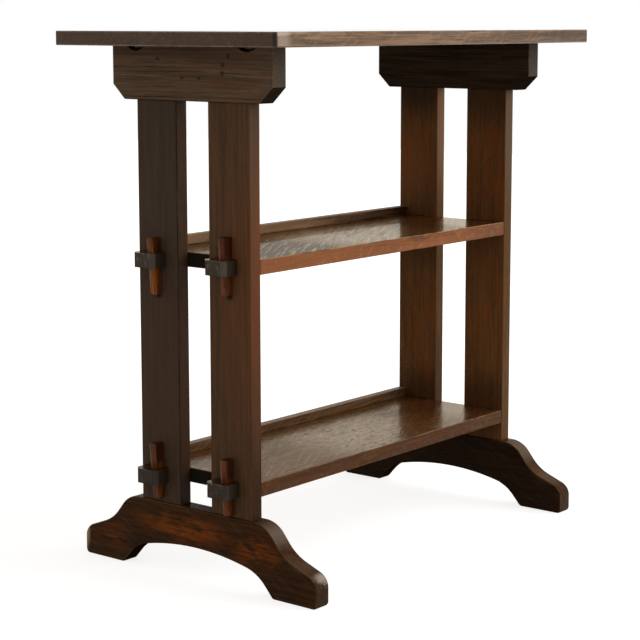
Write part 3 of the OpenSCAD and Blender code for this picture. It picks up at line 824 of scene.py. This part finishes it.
def make_key_tree():
    tree = new_tree("tapered key", {
        "Thickness": "Float", "Head Width": "Float", "Tip Width": "Float", "Length": "Float", "Arris": "Float",
        "Seed": "Float", "Place": "Vector", "Turn": "Float", "Finish": "Material"})
    given = tree.nodes.new("NodeGroupInput").outputs
    length, arris, head = given["Length"], given["Arris"], given["Head Width"]

    # Stations along the key, close together where its ends are rounded
    count = shape(tree, "InputIndex", {})
    last = KEY_STATIONS - 1
    from_end = calc(tree, "MINIMUM", count, minus(tree, float(last), count))
    bend = times(tree, calc(tree, "DIVIDE", from_end, float(END_STEPS), clamp=True), math.pi / 2)
    share = calc(tree, "DIVIDE", minus(tree, count, float(END_STEPS)), float(last - 2 * END_STEPS), clamp=True)
    straight = scaled(tree, arris, -2.0, length)
    station = scaled(tree, straight, share, arris)
    upper = calc(tree, "SIGN", minus(tree, count, last / 2))
    reach = times(tree, times(tree, arris, calc(tree, "COSINE", bend)), upper)
    height = xyz(tree, z=calc(tree, "ADD", station, reach))
    line = shape(tree, "CurvePrimitiveLine", {"End": (0.0, 0.0, 1.0)})
    line = shape(tree, "ResampleCurve", {"Curve": line, "Count": KEY_STATIONS})
    line = shape(tree, "SetPosition", {"Geometry": line, "Position": height})

    # The section, swept up the line
    section = shape(tree, "CurvePrimitiveQuadrilateral", {"Width": head, "Height": given["Thickness"]})
    section = shape(tree, "FilletCurve", {"Curve": section, "Count": END_STEPS, "Radius": arris}, mode="POLY")
    swept = shape(tree, "CurveToMesh", {"Curve": line, "Profile Curve": section, "Fill Caps": True})

    # How far each point lies into an arris, for the finish
    parts = node(tree, "ShaderNodeSeparateXYZ", {0: shape(tree, "InputPosition", {})}).outputs
    half_w = times(tree, head, 0.5)
    half_t = times(tree, given["Thickness"], 0.5)
    halves = ((0, half_w), (1, half_t))
    from_tip = calc(tree, "MINIMUM", parts[2], minus(tree, length, parts[2]))
    depth = calc(tree, "MINIMUM", calc(tree, "MAXIMUM", from_tip, 0.0), arris)
    corner = [between(tree, calc(tree, "ABSOLUTE", parts[axis]), minus(tree, half, arris), half)
              for axis, half in halves]
    corner.append(minus(tree, 1.0, calc(tree, "DIVIDE", depth, arris)))
    pairs = [times(tree, corner[a], corner[b]) for a, b in ((0, 1), (1, 2), (2, 0))]
    worn = times(tree, calc(tree, "MAXIMUM", calc(tree, "MAXIMUM", pairs[0], pairs[1]), pairs[2]), 2.0, clamp=True)
    marked = shape(tree, "StoreNamedAttribute", {"Geometry": swept, "Name": "arris", "Value": worn},
                   data_type="FLOAT", domain="POINT")

    # Round the ends, slope the outer face and cut it a little uneven
    short = minus(tree, arris, depth)
    chord = calc(tree, "SQRT", minus(tree, times(tree, arris, arris), times(tree, short, short)))
    inset = minus(tree, arris, chord)
    drawn = [times(tree, parts[axis], minus(tree, 1.0, calc(tree, "DIVIDE", inset, half))) for axis, half in halves]
    rise = calc(tree, "DIVIDE", parts[2], length)
    slope = minus(tree, head, given["Tip Width"])
    width = scaled(tree, slope, rise, given["Tip Width"])
    outward = calc(tree, "DIVIDE", times(tree, calc(tree, "ADD", drawn[0], half_w), width), head)
    shaped = xyz(tree, outward, drawn[1], parts[2])
    seeded = vector(tree, "ADD", shaped, xyz(tree, z=given["Seed"]))
    uneven = vector(tree, "MULTIPLY", drift(tree, seeded, UNEVEN_SCALE), (UNEVEN_DEPTH, UNEVEN_DEPTH, 0.0))
    cut = shape(tree, "SetPosition", {"Geometry": marked, "Position": shaped, "Offset": uneven})

    # Stand it in its tenon
    turn = xyz(tree, z=given["Turn"])
    placed = shape(tree, "Transform", {"Geometry": cut, "Translation": given["Place"], "Rotation": turn})
    finish_tree(tree, placed, given["Finish"])
    return tree


KEY_TREE = make_key_tree()
print("key tree:", len(KEY_TREE.nodes), "nodes")

# %% Keys
KEY_HEAD = 0.0146
KEY_TIP = 0.008
KEY_ARRIS = 0.0014
KEY_BROWNS = {
    "upper_left_rear_key": ("#3a1604", "#a65a1c", "#cf7c2c"),
    "upper_left_front_key": ("#24100a", "#78381a", "#96501e"),
    "lower_left_rear_key": ("#2c1206", "#804416", "#9c5a1e"),
    "lower_left_front_key": ("#241006", "#7e3f10", "#b0601a"),
}
PLAIN_KEY = ("#2a140b", "#713c1a", "#8f4f22")
HEAD_HEIGHT = 0.024
HEAD_FADE = 0.004
KEY_GRAIN_STEP = 0.31
KEY_HEART = (0.09, 0.02)
KEY_HEART_STEP = 0.01
# Reach of a pale strip down each key's rear outer arris: rubbed, and a painted highlight.
WORN_AND_LIT_EDGE = (0.02, 0.0032, 0.05)


def key_head(tree, place, board, top):
    """The part of a key above its tenon."""
    tenon_top = top - HEAD_HEIGHT
    return between(tree, part_of(tree, place["Object"], "Z"), tenon_top - HEAD_FADE, tenon_top + HEAD_FADE)


def place_key(name, seed):
    low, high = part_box(name)
    left = low.x < 0
    foot = (high.x if left else low.x, (low.y + high.y) / 2, low.z)
    heart = (seed * KEY_GRAIN_STEP, KEY_HEART[0] + KEY_HEART_STEP * seed, KEY_HEART[1])
    # Painted shade on the front face of each key's head, above the tenon.
    layers = [(both, (*FRONT, key_head, (high.z,)), "#2e140a", 0.7), (ends, ("Z",), END_BLACK, 0.7),
              (arrises, (), "#1a0c06", 0.5),
              # A pale strip down the rear outer arris: rubbed, and a painted highlight.
              (near, ((low.x if left else high.x, high.y, (low.z + high.z) / 2), WORN_AND_LIT_EDGE), "#a08a70", 0.7)]
    finish = oak_finish(name + "_oak", KEY_BROWNS.get(name, PLAIN_KEY), "Z", heart, layers, ring=0.0024, rings=1.0,
                        streaks=1.0, index=1.2, rough=(0.45, 0.3))
    piece = grow(name + "_piece", KEY_TREE, {
        "Thickness": high.y - low.y, "Head Width": KEY_HEAD, "Tip Width": KEY_TIP, "Length": high.z - low.z,
        "Arris": KEY_ARRIS, "Seed": float(seed), "Place": foot, "Turn": math.pi if left else 0.0, "Finish": finish})
    hand_over(piece, name)
    print(name, len(piece.data.polygons), "faces, stands at", [round(value, 4) for value in foot])


for seed, name in enumerate(name for name, slot in SLOTS.items() if slot == "key_oak"):
    place_key(name, seed)

# %% [markdown]
# ## Iron: fasteners and screws
#
# A flat figure-eight plate joins each bearer to the top at two places, with one screw down and one up, so the top can
# still move with the weather. Only its rim shows, in a small crescent cut in the bearer. The strips are screwed from
# under the shelves. All of it is plain steel that has gone dull and brown.
#
# The plates are softened copies of their solids. There are sixteen screws, so a tree makes one, with a countersunk
# head, a slot and a thread, and sets it on points. The points and the way each screw faces are read from the solids.

# %% Dull steel
STEEL_GREY = "#3a3632"
RUST_BROWN = "#2b1a10"
RUST_SCALE = (260.0, 260.0, 260.0)
STEEL_GRAIN_SCALE = (2200.0, 2200.0, 2200.0)
STEEL_RELIEF = 0.00005
PLATE_ARRIS = 0.0003


def steel_finish(name):
    made, tree = new_material(name)
    place = node(tree, "ShaderNodeTexCoord").outputs["Object"]
    rust = between(tree, noise(tree, place, RUST_SCALE, detail=4.0), 0.45, 0.65)
    tone = mix(tree, rust, colour(STEEL_GREY), colour(RUST_BROWN))
    grain = noise(tree, place, STEEL_GRAIN_SCALE)
    relief = node(tree, "ShaderNodeBump", {"Height": calc(tree, "ADD", grain, rust), "Distance": STEEL_RELIEF})
    shader = node(tree, "ShaderNodeBsdfPrincipled", {
        "Base Color": tone, "Metallic": minus(tree, 1.0, times(tree, rust, 0.7)),
        "Roughness": scaled(tree, rust, 0.25, 0.45), "Normal": relief.outputs[0]})
    node(tree, "ShaderNodeOutputMaterial", {"Surface": shader.outputs[0]})
    return made


STEEL = steel_finish("dull_steel")
soften("top_fasteners", STEEL, PLATE_ARRIS)

# %% The screw tree
SCREW_SIDES = 28
CORE_SHARE = 0.72
POINT_SHARE = 0.14
POINT_BLUNT = 0.15
THREAD_STEPS = 24
THREAD_SIDES = 4
THREAD_SHARE = 0.94
THREAD_START = 0.06


def make_screw_tree():
    tree = new_tree("slotted screw", {
        "Head Diameter": "Float", "Diameter": "Float", "Length": "Float", "Slot": "Float", "Turns": "Float",
        "Seed": "Int", "Finish": "Material"})
    given = tree.nodes.new("NodeGroupInput").outputs
    head_r = times(tree, given["Head Diameter"], 0.5)
    shank_r = times(tree, given["Diameter"], 0.5)
    core_r = times(tree, shank_r, CORE_SHARE)
    head_h = minus(tree, head_r, shank_r)
    point_h = times(tree, given["Length"], POINT_SHARE)
    body_h = minus(tree, minus(tree, given["Length"], head_h), point_h)

    def cone(bottom, top, depth, lift):
        made = shape(tree, "MeshCone", {"Vertices": SCREW_SIDES, "Radius Bottom": bottom, "Radius Top": top,
                                        "Depth": depth})
        return shape(tree, "Transform", {"Geometry": made, "Translation": xyz(tree, z=lift)})

    # Head with its slot
    head = cone(head_r, shank_r, head_h, 0.0)
    bar = xyz(tree, times(tree, head_r, 3.0), given["Slot"], times(tree, given["Slot"], 2.0))
    bar = shape(tree, "MeshCube", {"Size": bar})
    head = shape(tree, "MeshBoolean", {"Mesh 1": head, "Mesh 2": bar}, operation="DIFFERENCE")

    # Core, point and thread
    core = cone(core_r, core_r, body_h, head_h)
    point = cone(core_r, times(tree, core_r, POINT_BLUNT), point_h, calc(tree, "ADD", head_h, body_h))
    thread = shape(tree, "CurveSpiral", {
        "Resolution": THREAD_STEPS, "Rotations": given["Turns"], "Start Radius": core_r, "End Radius": core_r,
        "Height": times(tree, body_h, THREAD_SHARE)})
    edge = shape(tree, "CurvePrimitiveCircle", {"Resolution": THREAD_SIDES, "Radius": minus(tree, shank_r, core_r)})
    thread = shape(tree, "CurveToMesh", {"Curve": thread, "Profile Curve": edge, "Fill Caps": True})
    up = xyz(tree, z=scaled(tree, body_h, THREAD_START, head_h))
    thread = shape(tree, "Transform", {"Geometry": thread, "Translation": up})
    join = tree.nodes.new("GeometryNodeJoinGeometry")
    for part in (thread, point, core, head):
        tree.links.new(part, join.inputs[0])

    # One at each point, each slot stopped at its own angle
    any_turn = node(tree, "FunctionNodeRandomValue", {2: 0.0, 3: math.pi, "Seed": given["Seed"]}, data_type="FLOAT")
    over = shape(tree, "InputNamedAttribute", {"Name": "over"}, data_type="FLOAT")
    turn = xyz(tree, over, z=any_turn.outputs[1])
    set_on = shape(tree, "InstanceOnPoints", {"Points": given["Geometry"], "Instance": join.outputs[0],
                                              "Rotation": turn})
    finish_tree(tree, set_on, given["Finish"])
    return tree


SCREW_TREE = make_screw_tree()
print("screw tree:", len(SCREW_TREE.nodes), "nodes")

# %% Screws
SCREW_HEAD = 0.0072
SCREW_DIAMETER = 0.0036
SCREW_SLOT = 0.0009
THREAD_PITCH = 0.0014
THREADED_SHARE = 0.8
SLOT_SEED = 3
SAME_HEIGHT = 1e-5
PLACE_DIGITS = 4


def loose_parts(name):
    """The points of each separate solid in a node. The solids are sorted by place, so each run counts them alike."""
    work = bmesh.new()
    work.from_mesh(frame["nodes"][name].data)
    bmesh.ops.remove_doubles(work, verts=work.verts, dist=MERGE_DISTANCE)
    left, parts = set(work.verts), []
    while left:
        found, edge = set(), {left.pop()}
        while edge:
            found |= edge
            edge = {e.other_vert(v) for v in edge for e in v.link_edges} - found
        left -= found
        parts.append([v.co.copy() for v in found])
    work.free()
    return sorted(parts, key=lambda part: [round(min(values), PLACE_DIGITS) for values in zip(*part)])


def screw_points(name):
    """One point at the middle of each screw's head, with the half turn of a screw that points down."""
    places, overs = [], []
    for part in loose_parts(name):
        low, high = min(p.z for p in part), max(p.z for p in part)
        x = (min(p.x for p in part) + max(p.x for p in part)) / 2
        y = (min(p.y for p in part) + max(p.y for p in part)) / 2
        reach = {end: max(math.hypot(p.x - x, p.y - y) for p in part if abs(p.z - end) < SAME_HEIGHT)
                 for end in (low, high)}
        head = max(reach, key=reach.get)
        places.append((x, y, head))
        overs.append(math.pi if head == high else 0.0)
    mesh = bpy.data.meshes.new(name + "_points")
    mesh.from_pydata(places, [], [])
    mesh.attributes.new("over", "FLOAT", "POINT").data.foreach_set("value", overs)
    return mesh, high - low


for name in ("fastener_screws", "rail_screws"):
    points, length = screw_points(name)
    piece = grow(name + "_piece", SCREW_TREE, {
        "Head Diameter": SCREW_HEAD, "Diameter": SCREW_DIAMETER, "Length": length, "Slot": SCREW_SLOT,
        "Turns": length / THREAD_PITCH * THREADED_SHARE, "Seed": SLOT_SEED, "Finish": STEEL}, points)
    hand_over(piece, name)
    print(name, len(points.vertices), "screws of", round(length * 1000, 1), "mm,", len(piece.data.polygons), "faces")

# %% [markdown]
# ## Light and floor
#
# Soft light from the front right does most of the work, as a window or a big diffuser would. The world adds an even
# fill. Seen by the camera the world and the floor are white, and the floor keeps the stand's soft shadow. The lamp is
# left out of reflections: a mirror image of it would burn the polished boards out from behind, so they reflect only
# the white room.

# %% World
WHITE = (1.0, 1.0, 1.0, 1.0)
FILL_LIGHT = 0.5
FILL_TINT = (1.0, 0.95, 0.88, 1.0)


def seen(tree):
    """1 for what is seen, straight on or in a reflection, and 0 for what only lights."""
    path = node(tree, "ShaderNodeLightPath").outputs
    return calc(tree, "MAXIMUM", calc(tree, "MAXIMUM", path["Is Camera Ray"], path["Is Glossy Ray"]),
                path["Is Transmission Ray"])


def make_world():
    world = bpy.data.worlds.new("studio")
    bpy.context.scene.world = world
    world.use_nodes = True
    tree = world.node_tree
    tree.nodes.clear()
    fill = node(tree, "ShaderNodeBackground", {"Color": FILL_TINT, "Strength": FILL_LIGHT})
    white = node(tree, "ShaderNodeBackground", {"Color": WHITE, "Strength": 1.0})
    shown = node(tree, "ShaderNodeMixShader", {0: seen(tree), 1: fill.outputs[0], 2: white.outputs[0]})
    node(tree, "ShaderNodeOutputWorld", {"Surface": shown.outputs[0]})


make_world()
print("world:", bpy.context.scene.world.name)

# %% Floor
FLOOR_HALF = 6.0
FLOOR_TONE = (0.45, 0.44, 0.43, 1.0)
FLOOR_GLOW = 0.8
WHITE_FROM, WHITE_AT = 0.5, 1.6


def make_floor():
    """A floor whose own shadow tones fade into the white background with the distance."""
    mesh = bpy.data.meshes.new("floor")
    corners = [(x * FLOOR_HALF, y * FLOOR_HALF, 0) for x, y in ((-1, -1), (1, -1), (1, 1), (-1, 1))]
    mesh.from_pydata(corners, [], [(0, 1, 2, 3)])
    floor = show(bpy.data.objects.new("floor", mesh))
    made, tree = new_material("pale_floor")
    place = node(tree, "ShaderNodeTexCoord").outputs["Object"]
    away = between(tree, vector(tree, "LENGTH", place, out="Value"), WHITE_FROM, WHITE_AT)
    glow = scaled(tree, away, 1.0 - FLOOR_GLOW, FLOOR_GLOW)
    lit = node(tree, "ShaderNodeBsdfDiffuse", {"Color": FLOOR_TONE})
    glowing = node(tree, "ShaderNodeEmission", {"Color": WHITE, "Strength": glow})
    shadowed = node(tree, "ShaderNodeAddShader", {0: lit.outputs[0], 1: glowing.outputs[0]})
    shown = node(tree, "ShaderNodeMixShader", {0: seen(tree), 1: lit.outputs[0], 2: shadowed.outputs[0]})
    node(tree, "ShaderNodeOutputMaterial", {"Surface": shown.outputs[0]})
    mesh.materials.append(made)
    return floor


print("floor:", [round(value, 2) for value in make_floor().dimensions])

# %% Lamp
LAMP_PLACE = Vector((1.9, -2.6, 1.8))
LAMP_AIM = Vector((0.0, 0.0, 0.35))
LAMP_SIZE = 3.6
LAMP_WATTS = 121
LAMP_TINT = (1.0, 0.95, 0.88)


def make_lamp(name):
    """A big square lamp turned towards the stand."""
    lamp = show(bpy.data.objects.new(name, bpy.data.lights.new(name, "AREA")))
    lamp.data.size = LAMP_SIZE
    lamp.data.energy = LAMP_WATTS
    lamp.data.color = LAMP_TINT
    lamp.visible_glossy = False
    lamp.location = LAMP_PLACE
    lamp.rotation_euler = (LAMP_AIM - LAMP_PLACE).to_track_quat("-Z", "Y").to_euler()
    return lamp


print("lamp at", [round(value, 2) for value in make_lamp("front_right").location])

# %% View
bpy.context.scene.view_settings.view_transform = "Standard"
